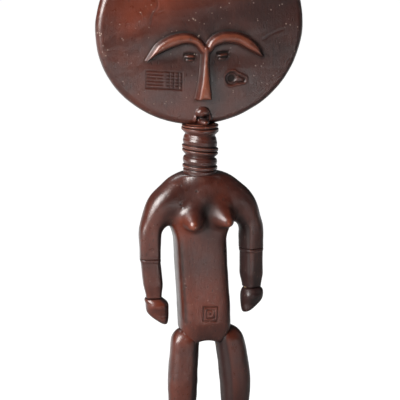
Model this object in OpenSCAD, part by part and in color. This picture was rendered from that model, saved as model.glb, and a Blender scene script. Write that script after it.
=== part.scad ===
// Standing fertility doll of carved wood: disc head, ringed neck, arched shoulders with hanging arms,
// straight trunk and separate legs. The carved pieces are glued up on round dowels.
// Millimetres, +Z up. The doll looks towards -Y, and right and left are the doll's own, so its right is -X.
// The origin is on the floor, midway between the soles.

/* [Head] */
// Width of the disc head
head_w = 126; // [90:1:160]
// Height of the disc head
head_h = 117; // [90:1:160]
// Thickness of the disc at its middle
head_t = 15; // [13:0.5:20]
// Radius of the rounded rim of the disc
rim_r = 4.5; // [3:0.5:6]
// Height of the root under the head that the neck carries
root_h = 2; // [1:0.5:4]

/* [Face] */
// Length of the nose, from the bridge to its cut end
nose_l = 31; // [20:1:40]
// Width of the nose at its cut end
nose_w = 8.4; // [5:0.2:12]
// Height of the nose and brows above the face
relief_h = 4.5; // [2:0.5:7]
// Reach of one brow from the bridge to its tip
brow_l = 35; // [20:1:42]
// Radius of the arc under each brow
brow_r = 26; // [22:1:40]
// Thickness of a brow at its thickest
brow_t = 6.5; // [4:0.5:9]
// Overlap of the two brows behind the nose
brow_overlap = 3; // [2:0.5:4]
// Height of the bridge below the middle of the disc
bridge_drop = 10; // [5:1:18]
// Sideways slip of the nose from the bridge to its end
nose_lean = 1.8; // [0:0.2:3]
// Distance from the middle of the face to an eye
eye_x = 10; // [8:0.5:14]
// Diameter of the lips
mouth_d = 8.5; // [6:0.5:11]

/* [Neck] */
// Height of the neck
neck_h = 30.5; // [22:0.5:45]
// Diameter over the neck rings
ring_d = 22.4; // [18:0.2:28]
// Diameter of the neck at its waists
waist_d = 18; // [14:0.2:22]
// Diameter of the foot of the neck
neck_foot_d = 20; // [16:0.2:26]

/* [Trunk] */
// Width of the trunk
trunk_w = 31; // [26:0.5:40]
// Depth of the trunk, front to back
trunk_d = 26; // [24:0.5:34]
// Height from the hip seat to the armpits
trunk_h = 65; // [50:1:90]
// Depth of the rounded apron that hangs in front of the thighs
apron_h = 3; // [1:0.5:6]
// Thickness of the apron
apron_t = 4.5; // [3:0.5:6]
// Gap between the apron and the thighs behind it
apron_gap = 0.3; // [0.2:0.1:1]
// Sideways sway of the trunk at the hips
hip_sway = 3; // [0:0.5:6]

/* [Shoulders] */
// Width over the shoulders and arms
shoulder_w = 76; // [70:1:100]
// Height of the shoulder arch above the armpits
shoulder_h = 32; // [24:1:45]
// Depth of the shoulder arch, front to back
shoulder_d = 23; // [18:0.5:30]

/* [Breasts] */
// Diameter of a breast at its root
breast_d = 14; // [10:0.5:18]
// Length of a breast in front of the trunk
breast_l = 9.5; // [6:0.5:12]
// Distance between the two tips
breast_gap = 23; // [18:0.5:26]
// Height of the breasts above the armpits
breast_z = 7; // [4:0.5:12]

/* [Arms] */
// Diameter of an upper arm
arm_d = 13.5; // [10:0.5:18]
// Length of the upper arm below the armpit
upper_arm_l = 17; // [12:0.5:30]
// Length of the forearm
forearm_l = 24.5; // [18:0.5:40]
// Diameter of the forearm at the wrist
wrist_d = 11; // [8:0.5:14]
// Inward slant of the forearm and hand
arm_slant = 3.5; // [0:0.5:6]
// Length of the hand
hand_l = 15; // [10:0.5:22]
// Width of the hand
hand_w = 13.5; // [10:0.5:18]
// Forward set of the arms from the body axis
arm_forward = 2; // [0:0.5:3]
// How much shorter the left upper arm is
left_arm_short = 3; // [0:0.5:5]

/* [Legs] */
// Diameter of a thigh at its thickest
thigh_d = 18.3; // [14:0.1:24]
// Length of the thigh
thigh_l = 58; // [40:1:80]
// Height of the rounded crown on top of a thigh
crown_h = 6; // [4:0.5:10]
// Share of the thigh's width that is flat on top of the crown
crown_flat = 0.72; // [0.65:0.01:0.8]
// Diameter of the leg at the knee
knee_d = 15; // [12:0.5:20]
// Length of the calf
calf_l = 33; // [24:1:60]
// Diameter of the calf at its thickest
calf_d = 16.5; // [13:0.5:22]
// Diameter of the leg at the ankle
ankle_d = 12.5; // [10:0.5:18]
// Distance between the leg centres at the hips
hip_gap = 26; // [22:0.5:30]
// Distance between the leg centres at the knees
knee_gap = 33.4; // [28:0.2:44]
// Distance from a leg's centre in to its hip dowel
hip_dowel_in = 3.5; // [2:0.5:5]
// Extra sideways sway of the legs below the hips
leg_sway = 2.5; // [0:0.5:4]

/* [Feet] */
// Length of a foot
foot_l = 44; // [36:1:60]
// Width of a foot
foot_w = 19; // [14:0.5:26]
// Height of a foot from the sole to the ankle joint
foot_h = 9; // [6:0.5:16]
// Length of the heel behind the ankle's centre
heel_l = 16; // [10:0.5:20]

/* [Dowels] */
// Diameter of the long neck dowel
neck_dowel_d = 6; // [4:0.5:8]
// Diameter of the hip and knee dowels
leg_dowel_d = 5; // [3:0.5:6]
// Diameter of the elbow, wrist and ankle dowels
small_dowel_d = 4; // [3:0.5:5]
// Glue gap around each dowel, on the radius
glue_gap = 0.1; // [0.05:0.05:0.3]
// Depth of the neck dowel in the head
head_dowel_l = 24; // [14:1:40]
// Depth of the neck dowel in the torso
torso_dowel_l = 20; // [12:1:30]
// Depth of each hip and knee dowel on each side of its joint
leg_dowel_l = 10; // [6:0.5:14]
// Depth of each elbow, wrist and ankle dowel on each side of its joint
small_dowel_l = 6; // [4:0.5:8]

/* [Hidden] */

$fn = 64;
right = -1;
left = 1;
fine = 0.01;
stain = "#5c2f24";
pale = "#c9a271";

// heights of the joints, from the floor up
knee_z = foot_h + calf_l;
hip_z = knee_z + thigh_l;
pit_z = hip_z + trunk_h;
neck_z = pit_z + shoulder_h - 1;
head_z = neck_z + neck_h;
head_mid_z = head_z + root_h + head_h / 2;

// the body's vertical axis, which keeps the feet centred front to back on the origin
axis_y = foot_l / 2 - heel_l;
front_y = axis_y - trunk_d / 2;
arm_y = axis_y - arm_forward;
leg_y = axis_y;
arm_x = (shoulder_w - arm_d) / 2;
leg_x0 = hip_sway + leg_sway;
face_y = axis_y - head_t / 2;
thigh_top_d = thigh_d * 0.86;

function ease(t) = let (c = min(1, max(0, t))) c * c * (3 - 2 * c);
function mix(a, b, t) = a + (b - a) * t;
function power(v, p) = sign(v) * pow(abs(v), p);
function sway_at(z) = hip_sway * ease((pit_z - z) / trunk_h);

// one horizontal ring of a rounded section: half sizes rx and ry about (cx, cy) at height z
function ring(z, cx, cy, rx, ry, square, sides) =
    [for (i = [0:sides - 1])
        let (a = 360 * i / sides)
        [cx + rx * power(cos(a), 2 / square), cy + ry * power(sin(a), 2 / square), z]];

// closed skin through rings that are stacked upwards, all with the same number of points
module skin(rings) {
    sides = len(rings[0]);
    last = len(rings) - 1;
    points = [for (r = rings) for (p = r) p];
    bottom = [[for (i = [0:sides - 1]) i]];
    top = [[for (i = [sides - 1:-1:0]) last * sides + i]];
    walls = [for (k = [0:last - 1]) for (i = [0:sides - 1])
        let (a = k * sides + i, b = k * sides + (i + 1) % sides)
        for (face = [[a, a + sides, b], [b, a + sides, b + sides]]) face];
    polyhedron(points, concat(bottom, walls, top));
}

// round hole for a dowel, from height z up for a length l
module bore(x, y, z, l, d) {
    translate([x, y, z]) cylinder(d = d + 2 * glue_gap, h = l);
}

// dowel across a joint at height z, reaching the same depth on each side
module dowel(x, y, z, depth, d) {
    color(pale) translate([x, y, z - depth + glue_gap]) cylinder(d = d, h = 2 * (depth - glue_gap));
}

// ---------------------------------------------------------------- head

// outline of the disc from the middle of its back to the middle of its face, as [radius, height] pairs:
// a shallow dome, a round rim and the dome again
function disc_outline() =
    let (inner = head_w / 2 - rim_r, flat = 0.12,
        dome = [for (i = [0:4]) let (t = mix(flat, 1, i / 5)) [inner * t, mix(head_t / 2, rim_r, t * t)]],
        rim = [for (a = [90:-22.5:-90]) [inner + rim_r * cos(a), rim_r * sin(a)]])
    concat([for (p = dome) [p[0], -p[1]]], [for (i = [8:-1:0]) rim[i]],
        [for (i = [4:-1:0]) dome[i]]);

module disc() {
    translate([0, axis_y, head_mid_z]) rotate([90, 0, 0])
        skin([for (p = disc_outline()) ring(p[1], 0, 0, p[0], p[0] * head_h / head_w, 2, 64)]);
}

// crescent brow: the area over one arc and under a larger one, carved proud of the face
module brow(side) {
    half = brow_l / 2 + brow_overlap / 2;
    arc_z = -sqrt(brow_r * brow_r - half * half);
    rise = brow_r + arc_z + brow_t;
    outer_r = (half * half + rise * rise) / (2 * rise);
    translate([side * (half - brow_overlap), face_y + 1, head_mid_z - bridge_drop - brow_t])
        rotate([90, 0, 0]) linear_extrude(relief_h + 1) difference() {
            translate([0, rise - outer_r]) circle(r = outer_r);
            translate([0, arc_z]) circle(r = brow_r);
            translate([-head_w, -head_h]) square([2 * head_w, head_h]);
        }
}

// long wedge nose, narrow at the bridge and cut square at its end
module nose() {
    top_z = head_mid_z - bridge_drop + 2;
    translate([0, face_y + 1, 0]) rotate([90, 0, 0]) linear_extrude(relief_h + 1.5)
        polygon([[-1.5, top_z], [1.8, top_z], [nose_w / 2 - nose_lean, top_z - nose_l],
            [-nose_w / 2 - nose_lean, top_z - nose_l]]);
}

module lips() {
    mouth_z = head_z + root_h + mouth_d * 0.75;
    difference() {
        translate([-nose_lean, face_y, mouth_z]) sphere(d = mouth_d);
        translate([-nose_lean, face_y - mouth_d / 2, mouth_z - 1])
            rotate([0, 90, 0]) cylinder(d = 1.6, h = mouth_d * 0.6, center = true);
    }
}

module eye(side) {
    translate([side * eye_x + 1, face_y + 1, head_mid_z - bridge_drop - 5])
        rotate([90, 0, 0]) cylinder(d = 4.5, h = 1.8);
}

// tapered root that the disc stands on, as wide as the neck's top ring
module head_root() {
    translate([0, axis_y, head_z]) cylinder(d1 = ring_d - 1, d2 = head_t - 2, h = root_h + 5);
}

module head() {
    color(stain) difference() {
        union() {
            disc();
            head_root();
            brow(right);
            brow(left);
            nose();
            lips();
            eye(right);
            eye(left);
        }
        bore(0, axis_y, head_z - fine, head_dowel_l + fine, neck_dowel_d);
    }
}

// ---------------------------------------------------------------- neck

// half section of the neck: collars in pairs between two waists
module neck_profile() {
    rr = ring_d / 2;
    wr = waist_d / 2;
    fr = neck_foot_d / 2;
    h = neck_h;
    polygon([[0, 0], [fr, 0], [fr, h * 0.09], [rr - 0.4, h * 0.11], [rr - 0.3, h * 0.15],
        [rr - 1.4, h * 0.17], [rr - 0.6, h * 0.19], [rr - 0.5, h * 0.30], [wr, h * 0.36], [wr, h * 0.41],
        [rr - 0.6, h * 0.44], [rr - 0.5, h * 0.47], [rr - 1.0, h * 0.485], [rr, h * 0.50],
        [rr, h * 0.54], [rr - 1.3, h * 0.555], [rr - 0.8, h * 0.57], [rr - 0.8, h * 0.69],
        [wr + 0.2, h * 0.75], [wr + 0.2, h * 0.81], [rr - 0.2, h * 0.86], [rr, h * 0.89],
        [rr - 1.0, h * 0.91], [rr, h * 0.93], [rr - 0.5, h], [0, h]]);
}

module neck() {
    color(stain) difference() {
        translate([0, axis_y, neck_z]) rotate_extrude() neck_profile();
        bore(0, axis_y, neck_z - fine, neck_h + 2 * fine, neck_dowel_d);
    }
}

// ---------------------------------------------------------------- torso

// upright trunk, rounded at its foot into an apron
module trunk() {
    low = hip_z - apron_h;
    foot = [[0, 0.55], [0.12, 0.72], [0.3, 0.86], [0.55, 0.95], [1, 1]];
    rounded = 8;
    skin(concat(
        [for (f = foot)
            ring(low + rounded * f[0], sway_at(low + rounded * f[0]), axis_y,
                trunk_w / 2 * f[1], trunk_d / 2 * mix(0.75, 1, f[1]), 2.6, 32)],
        [for (k = [1:8]) let (z = mix(low + rounded, pit_z + 10, k / 8))
            ring(z, sway_at(z), axis_y, trunk_w / 2, trunk_d / 2, 2.6, 32)]));
}

// arched shoulders, which narrow upwards to the neck
module arch() {
    base = pit_z - arm_d / 3;
    skin([for (k = [0:9])
        let (t = k / 9, z = mix(base, pit_z + shoulder_h, t), up = max(0, (z - pit_z) / shoulder_h))
        ring(z, 0, axis_y - arm_forward * (1 - t) / 2,
            max(neck_foot_d / 2 + 0.5, shoulder_w / 2 * pow(1 - pow(up, 2.3), 1 / 2.1)),
            mix(arm_d / 2, shoulder_d / 2, ease(t * 2)), 2.2, 32)]);
}

// upper arm down to the elbow cuff
module upper_arm(side, elbow) {
    skin([for (k = [0:5])
        let (t = k / 5, z = mix(elbow, pit_z + 8, t))
        ring(z, side * arm_x, arm_y, arm_d / 2, arm_d / 2, 2.3, 24)]);
}

// armpit slot between the trunk and one arm, round at its top
module armpit(side) {
    gap = arm_x - arm_d / 2 - trunk_w / 2;
    x = side * (trunk_w + gap) / 2;
    translate([x, axis_y, pit_z - gap / 2]) rotate([90, 0, 0]) cylinder(d = gap, h = shoulder_d, center = true);
    translate([x - gap / 2, axis_y - shoulder_d / 2, pit_z - gap / 2 - arm_d])
        cube([gap, shoulder_d, arm_d]);
}

// pointed breast with a round tip, turned about its own axis
module breast(side) {
    r = breast_d / 2;
    root = 6;
    steps = 8;
    translate([side * breast_gap / 2 + 1, front_y + root, pit_z + breast_z + 1.5])
        rotate([100, 0, 0]) rotate_extrude($fn = 48)
            polygon(concat([[0, 0], [r + 1.5, 0]],
                [for (i = [0:steps - 1]) let (t = i / steps)
                    [r * pow(1 - pow(t, 2), 0.75) + 1.5 * pow(1 - t, 3), root + breast_l * t]],
                [[0, root + breast_l]]));
}

function elbow_z(side) = pit_z - upper_arm_l + (side == left ? left_arm_short : 0);

module torso() {
    color(stain) difference() {
        union() {
            trunk();
            difference() {
                arch();
                armpit(right);
                armpit(left);
            }
            upper_arm(right, elbow_z(right));
            upper_arm(left, elbow_z(left));
            breast(right);
            breast(left);
        }
        translate([-head_w / 2, front_y + apron_t, hip_z - trunk_h]) cube([head_w, foot_l, trunk_h]);
        bore(0, axis_y, neck_z - torso_dowel_l, torso_dowel_l + shoulder_h, neck_dowel_d);
        translate([-shoulder_w / 2, -foot_l, neck_z]) cube([shoulder_w, 2 * foot_l, shoulder_h]);
        for (side = [right, left]) {
            bore(side * arm_x, arm_y, elbow_z(side) - fine, small_dowel_l + fine, small_dowel_d);
            bore(hip_x(side), leg_y, hip_z - fine, leg_dowel_l + fine, leg_dowel_d);
        }
    }
}

// ---------------------------------------------------------------- arms

function wrist_z(side) = elbow_z(side) - forearm_l;
function wrist_x(side) = side * (arm_x - arm_slant * 0.6);

module forearm(side) {
    color(stain) difference() {
        skin([for (k = [0:8])
            let (t = k / 8, z = mix(wrist_z(side), elbow_z(side), t),
                r = mix(wrist_d, arm_d - 0.8, ease(t * 1.3)) / 2)
            ring(z, mix(wrist_x(side), side * arm_x, ease(t)), arm_y, r, r, 2.3, 24)]);
        bore(side * arm_x, arm_y, elbow_z(side) - small_dowel_l, small_dowel_l + fine, small_dowel_d);
        bore(wrist_x(side), arm_y, wrist_z(side) - fine, small_dowel_l + fine, small_dowel_d);
    }
}

// mitten hand, longer on the side that faces the thigh
module hand(side) {
    stations = [[0, 0.45], [0.12, 0.8], [0.35, 1], [0.65, 1], [0.88, 0.86], [1, 0.78]];
    slant = 5;
    color(stain) difference() {
        skin([for (s = stations)
            let (lean = (1 - s[0]) * arm_slant * 0.4, drop = slant * pow(1 - s[0], 1.5))
            [for (p = ring(wrist_z(side) - hand_l * (1 - s[0]), wrist_x(side) - side * lean, arm_y,
                    hand_w / 2 * s[1], wrist_d / 2 * mix(0.8, 1, s[1]), 2.6, 24))
                [p.x, p.y, p.z + drop * (side * (p.x - wrist_x(side)) / hand_w + 0.5) * 0.9]]]);
        bore(wrist_x(side), arm_y, wrist_z(side) - small_dowel_l, small_dowel_l + fine, small_dowel_d);
    }
}

// ---------------------------------------------------------------- legs

function hip_x(side) = hip_sway + side * (hip_gap / 2 - hip_dowel_in);
function knee_x(side) = leg_x0 + side * knee_gap / 2;

module thigh(side) {
    color(stain) difference() {
        skin([for (t = [0, 0.1, 0.2, 0.3, 0.4, 0.5, 0.6, 0.7, 0.8, 0.88, 0.92, 0.96, 0.985, 1])
            let (z = mix(knee_z, hip_z, t),
                crown = pow(max(0, 1 - pow(max(0, (z - hip_z) / crown_h + 1), 2.2)), 0.45),
                swell = mix(knee_d, thigh_d, ease(t * 2.1)) - (thigh_d - thigh_top_d) * ease((t - 0.5) * 2),
                r = swell / 2 * mix(crown_flat, 1, crown))
            ring(z, mix(knee_x(side), hip_sway + side * hip_gap / 2, pow(t, 2.5)), leg_y,
                r, min(r, trunk_d / 2 - apron_t - apron_gap), 2.2, 24)]);
        bore(hip_x(side), leg_y, hip_z - leg_dowel_l, leg_dowel_l + fine, leg_dowel_d);
        bore(knee_x(side), leg_y, knee_z - fine, leg_dowel_l + fine, leg_dowel_d);
    }
}

module calf(side) {
    color(stain) difference() {
        skin([for (k = [0:8])
            let (t = k / 8, z = mix(foot_h, knee_z, t),
                r = (mix(ankle_d, knee_d - 0.8, t) + (calf_d - knee_d + 1.5) * sin(180 * pow(t, 0.8))) / 2)
            ring(z, knee_x(side), leg_y, r, r, 2.2, 24)]);
        bore(knee_x(side), leg_y, knee_z - leg_dowel_l, leg_dowel_l + fine, leg_dowel_d);
        bore(knee_x(side), leg_y, foot_h - fine, small_dowel_l + fine, small_dowel_d);
    }
}

module foot(side) {
    stations = [[0, 0.95, 1], [0.12, 1, 1], [0.4, 0.98, 0.96], [0.62, 0.9, 0.8], [0.8, 0.82, 0.62], [1, 0.76, 0.46]];
    color(stain) difference() {
        skin([for (s = stations)
            let (half = foot_l / 2 * s[2])
            ring(foot_h * s[0], knee_x(side), mix(0, leg_y + 1, pow((1 - s[2]) / 0.54, 0.8)),
                foot_w / 2 * s[1], half, 2.6, 32)]);
        bore(knee_x(side), leg_y, foot_h - small_dowel_l, small_dowel_l + fine, small_dowel_d);
    }
}

// ---------------------------------------------------------------- dowels

module neck_dowel() {
    color(pale) translate([0, axis_y, neck_z - torso_dowel_l + glue_gap])
        cylinder(d = neck_dowel_d, h = torso_dowel_l + neck_h + head_dowel_l - 2 * glue_gap);
}

module elbow_dowel(side) {
    dowel(side * arm_x, arm_y, elbow_z(side), small_dowel_l, small_dowel_d);
}

module wrist_dowel(side) {
    dowel(wrist_x(side), arm_y, wrist_z(side), small_dowel_l, small_dowel_d);
}

module hip_dowel(side) {
    dowel(hip_x(side), leg_y, hip_z, leg_dowel_l, leg_dowel_d);
}

module knee_dowel(side) {
    dowel(knee_x(side), leg_y, knee_z, leg_dowel_l, leg_dowel_d);
}

module ankle_dowel(side) {
    dowel(knee_x(side), leg_y, foot_h, small_dowel_l, small_dowel_d);
}

head();
neck();
torso();
forearm(right);  // right_forearm
forearm(left);  // left_forearm
hand(right);  // right_hand
hand(left);  // left_hand
thigh(right);  // right_thigh
thigh(left);  // left_thigh
calf(right);  // right_calf
calf(left);  // left_calf
foot(right);  // right_foot
foot(left);  // left_foot
neck_dowel();
elbow_dowel(right);  // right_elbow_dowel
elbow_dowel(left);  // left_elbow_dowel
wrist_dowel(right);  // right_wrist_dowel
wrist_dowel(left);  // left_wrist_dowel
hip_dowel(right);  // right_hip_dowel
hip_dowel(left);  // left_hip_dowel
knee_dowel(right);  // right_knee_dowel
knee_dowel(left);  // left_knee_dowel
ankle_dowel(right);  // right_ankle_dowel
ankle_dowel(left);  // left_ankle_dowel
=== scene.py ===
"""Standing fertility doll of stained and lacquered wood, carved in pieces and glued up on dowels.

Lengths in the shape functions are millimetres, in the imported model's frame: +Z up, the doll looks
towards -Y, and its own right side is -X. Points are turned into metres when a mesh is made.
"""

import math

import bpy
import numpy as np
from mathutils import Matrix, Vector
from bpy.props import FloatProperty, FloatVectorProperty, PointerProperty


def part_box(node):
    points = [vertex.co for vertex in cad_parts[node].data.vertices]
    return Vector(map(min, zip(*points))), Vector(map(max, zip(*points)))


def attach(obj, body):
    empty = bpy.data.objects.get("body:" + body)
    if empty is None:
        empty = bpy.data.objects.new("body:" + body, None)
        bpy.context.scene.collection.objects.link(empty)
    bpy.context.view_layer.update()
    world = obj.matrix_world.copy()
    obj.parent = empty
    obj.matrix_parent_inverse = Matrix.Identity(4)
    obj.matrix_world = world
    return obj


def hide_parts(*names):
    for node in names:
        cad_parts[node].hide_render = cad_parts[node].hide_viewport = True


bl_info = {
    "name": "Carved Fertility Doll",
    "version": (1, 0, 0),
    "blender": (4, 5, 0),
    "location": "3D View > Sidebar > Doll",
    "description": "Carves the doll's wooden pieces around the packed model, stains them and lights them",
    "category": "Object",
}

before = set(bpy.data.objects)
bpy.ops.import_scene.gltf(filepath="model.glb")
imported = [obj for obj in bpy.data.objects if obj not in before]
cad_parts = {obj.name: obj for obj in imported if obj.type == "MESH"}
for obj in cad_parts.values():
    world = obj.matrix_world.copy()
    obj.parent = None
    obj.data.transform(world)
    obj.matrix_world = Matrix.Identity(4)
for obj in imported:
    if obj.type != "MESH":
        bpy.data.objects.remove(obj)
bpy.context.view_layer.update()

MM = 0.001
BODY = "root"
SIDES = {"right": -1, "left": 1}


def low(node):
    """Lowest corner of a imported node, in millimetres."""
    return np.array(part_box(node)[0]) / MM


def high(node):
    """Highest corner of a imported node, in millimetres."""
    return np.array(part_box(node)[1]) / MM


def middle(node):
    """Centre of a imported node's box, in millimetres. A dowel's centre is its joint's centre."""
    return (low(node) + high(node)) / 2


AXIS_Y = middle("neck")[1]
NECK_LOW = low("neck")[2]
NECK_R = (high("neck")[0] - low("neck")[0]) / 2
# Length of the head's root, below the disc
ROOT_H = 2.0
HEAD_W = high("head")[0] - low("head")[0]
HEAD_H = high("head")[2] - low("head")[2] - ROOT_H
HEAD_MID = np.array([0.0, AXIS_Y, high("head")[2] - HEAD_H / 2])
HIP_Z = middle("right_hip_dowel")[2]
HIP_X = (middle("right_hip_dowel")[0] + middle("left_hip_dowel")[0]) / 2
LEG_X = (middle("right_knee_dowel")[0] + middle("left_knee_dowel")[0]) / 2
LEG_APART = (middle("left_knee_dowel")[0] - middle("right_knee_dowel")[0]) / 2
LEG_TURN = math.radians(9)
KNEE_Z = middle("right_knee_dowel")[2]
ANKLE_Z = middle("right_ankle_dowel")[2]
ARM_Y = middle("left_elbow_dowel")[1]
# How far out the torso's points belong to an arm
ARM_FROM = 22.0
PIT_Z = NECK_LOW - 31.0
# Starts a search for the least distance
FAR = 1e3


# ------------------------------------------------------------------ small curves


def ease(t):
    """Smooth step: 0 below 0, 1 above 1, with flat ends."""
    t = np.clip(t, 0.0, 1.0)
    return t * t * (3.0 - 2.0 * t)


def mix(a, b, t):
    return a + (b - a) * t


def join(a, b, k):
    """Union of two distances with a fillet of about k: the lesser one, rounded where they are close."""
    h = np.clip(0.5 + 0.5 * (b - a) / k, 0.0, 1.0)
    return mix(b, a, h) - k * h * (1.0 - h)


def meet(a, b, k):
    """Overlap of two distances with its edge rounded by about k."""
    return -join(-a, -b, k)


def bell(d, width):
    """1 at d = 0, falling smoothly to nothing beyond about two widths."""
    return np.exp(-(d / width) ** 2)


def groove(d, width):
    """Cut of a V tool at distance d from its line: 1 on the line and 0 from one width out."""
    return ease(1.0 - np.abs(d) / width)


def ripple(points, wave, seed):
    """Hand-tool unevenness between about -1 and 1: sine waves of about one length in random directions."""
    rng = np.random.default_rng(seed)
    total = np.zeros(len(points))
    for _ in range(9):
        way = rng.normal(size=points.shape[1])
        way *= 2.0 * math.pi / (wave * rng.uniform(0.7, 1.6) * np.linalg.norm(way))
        total += np.sin(points @ way + rng.uniform(0.0, 2.0 * math.pi))
    return total / 4.5


def segment(px, pz, a, b):
    """Distance from points to the straight line from a to b, and how far along it the nearest place is."""
    ax, az = a[0], a[1]
    dx, dz = b[0] - ax, b[1] - az
    t = np.clip(((px - ax) * dx + (pz - az) * dz) / (dx * dx + dz * dz), 0.0, 1.0)
    return np.hypot(px - ax - t * dx, pz - az - t * dz), t


# ------------------------------------------------------------------ meshes


def put_mesh(name, points, quads, triangles):
    """Makes a smooth-shaded mesh object from arrays of points in millimetres and of corner numbers."""
    mesh = bpy.data.meshes.new(name)
    corners = np.concatenate([np.ravel(quads), np.ravel(triangles)]).astype(np.int32)
    sizes = np.concatenate([np.full(len(quads), 4), np.full(len(triangles), 3)])
    starts = (np.cumsum(sizes) - sizes).astype(np.int32)
    mesh.vertices.add(len(points))
    mesh.vertices.foreach_set("co", (points * MM).astype(np.float32).ravel())
    mesh.loops.add(len(corners))
    mesh.loops.foreach_set("vertex_index", corners)
    mesh.polygons.add(len(sizes))
    mesh.polygons.foreach_set("loop_start", starts)
    mesh.polygons.foreach_set("use_smooth", np.ones(len(sizes), bool))
    mesh.update(calc_edges=True)
    piece = bpy.data.objects.new(name, mesh)
    bpy.context.scene.collection.objects.link(piece)
    return piece


def surface_of(piece):
    """A piece's points in millimetres, and the normals at them."""
    mesh = piece.data
    points = np.empty(len(mesh.vertices) * 3, np.float32)
    normals = np.empty(len(mesh.vertices) * 3, np.float32)
    mesh.vertices.foreach_get("co", points)
    mesh.vertex_normals.foreach_get("vector", normals)
    return points.reshape(-1, 3).astype(float) / MM, normals.reshape(-1, 3)


def set_mask(piece, name, values):
    """Stores one number per point, for the stain to read."""
    mask = piece.data.attributes.new(name, "FLOAT", "POINT")
    mask.data.foreach_set("value", np.clip(values, 0.0, 1.0).astype(np.float32))


def crests(piece, passes):
    """How far each point stands proud of its surroundings, in millimetres.

    The points are averaged with their neighbours, passes times, and what the averaging took away is
    measured along the surface's normal: positive on edges and tips, negative in hollows."""
    mesh = piece.data
    points, normals = surface_of(piece)
    count = len(points)
    edges = np.empty(len(mesh.edges) * 2, np.int32)
    mesh.edges.foreach_get("vertices", edges)
    a, b = edges.reshape(-1, 2).T
    degree = np.bincount(a, minlength=count) + np.bincount(b, minlength=count)
    soft = points.copy()
    for _ in range(passes):
        total = np.stack(
            [
                np.bincount(a, soft[b, axis], count) + np.bincount(b, soft[a, axis], count)
                for axis in range(3)
            ],
            axis=1,
        )
        soft = 0.5 * soft + 0.5 * total / degree[:, None]
    return ((points - soft) * normals).sum(1)


def stack(name, rows):
    """Closed skin through rings of points, stacked upwards, with a point at each end to close it.

    rows has the shape (rings, points round, 3), and the points run anticlockwise seen from above."""
    rings, sides, _ = rows.shape
    points = np.concatenate([rows.reshape(-1, 3), rows[:1].mean(1), rows[-1:].mean(1)])
    ring = np.arange(rings - 1)[:, None] * sides
    i = np.arange(sides)[None, :]
    j = (i + 1) % sides
    quads = np.stack([ring + i, ring + j, ring + sides + j, ring + sides + i], axis=-1).reshape(-1, 4)
    i, j = i[0], j[0]
    bottom = np.stack([j, i, np.full(sides, rings * sides)], axis=-1)
    last = (rings - 1) * sides
    top = np.stack([last + i, last + j, np.full(sides, rings * sides + 1)], axis=-1)
    return put_mesh(name, points, quads, np.concatenate([bottom, top]))


LIMB_SIDES = 132


def around(sides):
    """Angles of the points round a ring."""
    return np.linspace(0.0, 2.0 * math.pi, sides, endpoint=False)[None, :]


def rounded_ring(angle, half_x, half_y, square, turn):
    """Superellipse: a circle at square = 2, nearer a rounded square above it, turned about the vertical."""
    c, s = np.cos(angle), np.sin(angle)
    size = (np.abs(c) ** square + np.abs(s) ** square) ** (-1.0 / square)
    x, y = half_x * size * c, half_y * size * s
    return x * math.cos(turn) - y * math.sin(turn), x * math.sin(turn) + y * math.cos(turn)


def limb(side, centre_x, centre_y, z, half_x, half_y, square, turn, sides=LIMB_SIDES, rough=0.1):
    """Rings of a carved limb: uneven rounded squares at the heights z, with their centres and half sizes."""
    x, y = rounded_ring(around(sides), half_x[:, None], half_y[:, None], square, turn)
    height = np.broadcast_to(z[:, None], x.shape)
    rows = np.stack([x + centre_x[:, None], y + centre_y[:, None], height], -1)
    flat = rows.reshape(-1, 3)
    out = flat - np.stack([np.repeat(centre_x, sides), np.repeat(centre_y, sides), flat[:, 2]], -1)
    out /= np.linalg.norm(out, axis=1, keepdims=True) + 1e-9
    bumps = rough * ripple(flat, 13.0, 40 + side) + 0.45 * rough * ripple(flat, 5.5, 60 + side)
    fade = np.repeat(np.clip(half_x / half_x.max() * 1.5 - 0.5, 0, 1), sides)
    return (flat + out * (bumps * fade)[:, None]).reshape(rows.shape)


def cap(t, bottom, top):
    """Rounds the ends of a limb: 1 along its length, falling to nearly 0 over the shares bottom and top."""
    low_end = np.clip(1.0 - t / bottom, 0.0, 1.0) if bottom else 0.0 * t
    high_end = np.clip((t - 1.0 + top) / top, 0.0, 1.0) if top else 0.0 * t
    return (1.0 - np.maximum(low_end, high_end) ** 3.0 * 0.998) ** 0.45


def end_steps(count, share):
    """Shares from 0 to 1 that crowd towards both ends, where the rounding needs them."""
    even = np.linspace(0.0, 1.0, count)
    return mix(even, 0.5 - 0.5 * np.cos(math.pi * even), share)


def smooth(values, reach):
    """Running mean over reach places on each side."""
    count = 2 * reach + 1
    return np.convolve(np.pad(values, reach, mode="edge"), np.ones(count) / count, mode="valid")


# ------------------------------------------------------------------ the head's carving


def curve_through(knots, steps):
    """Smooth line through a few knots (any number of columns), as steps points between each two of them."""
    knots = np.array(knots, float)
    ends = np.concatenate([2 * knots[:1] - knots[1:2], knots, 2 * knots[-1:] - knots[-2:-1]])
    t = np.linspace(0.0, 1.0, steps, endpoint=False)[:, None]
    parts = []
    for p0, p1, p2, p3 in zip(ends, ends[1:], ends[2:], ends[3:]):
        line = 2 * p1 + (p2 - p0) * t + (2 * p0 - 5 * p1 + 4 * p2 - p3) * t**2
        parts.append(0.5 * (line + (3 * p1 - p0 - 3 * p2 + p3) * t**3))
    return np.concatenate(parts + [knots[-1:]])


def stroke(x, z, line):
    """Signed distance to a line of varying half width (rows of x, z, half width): negative inside."""
    nearest = np.full(x.shape, FAR)
    for a, b in zip(line, line[1:]):
        d, t = segment(x, z, a, b)
        nearest = np.minimum(nearest, d - mix(a[2], b[2], t))
    return nearest


def scratch(x, z, knots, width, steps=4):
    """1 along a thin line through the knots, fading over its width."""
    line = curve_through(knots, steps)
    near = np.full(x.shape, FAR)
    for a, b in zip(line, line[1:]):
        near = np.minimum(near, segment(x, z, a, b)[0])
    return bell(near, width)


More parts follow.
